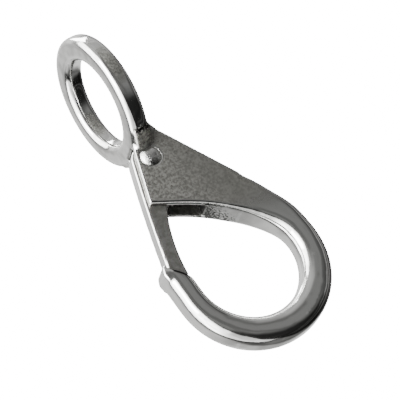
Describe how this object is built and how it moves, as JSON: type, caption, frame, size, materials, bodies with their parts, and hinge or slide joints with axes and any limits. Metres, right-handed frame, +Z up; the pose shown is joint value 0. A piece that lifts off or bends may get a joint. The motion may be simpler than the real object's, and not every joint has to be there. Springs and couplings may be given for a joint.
{
  "type": "fixed-eye snap hook",
  "caption": "Boat snap hook with a twisted fixed eye, a sprung gate on a rivet, and an open teardrop bowl.",
  "frame": {"origin": "centre of the eye", "axes": "+Z up the line of pull with the hook hanging below the eye, +X along the eye's hole towards the back of the hook, +Y through the thickness of the hook"},
  "size_m": [0.0412, 0.0364, 0.0977],
  "materials": {
    "cast_stainless": "polished investment casting",
    "gate_stainless": "polished",
    "rivet_stainless": "polished",
    "spring_stainless": "drawn wire"
  },
  "bodies": {
    "hook": {"body": "cast_stainless", "pivot_rivet": "rivet_stainless", "gate_spring": "spring_stainless"},
    "gate": {"gate": "gate_stainless"}
  },
  "joints": [
    {"name": "gate_pivot", "type": "hinge", "parent": "hook", "child": "gate", "pos_m": [-0.0002, 0, -0.0214], "axis": [0, -1, 0], "range_deg": [0, 28], "stiffness_Nm_per_rad": 0.84, "springref_deg": -12.03, "deforming": ["gate_spring"]}
  ]
}
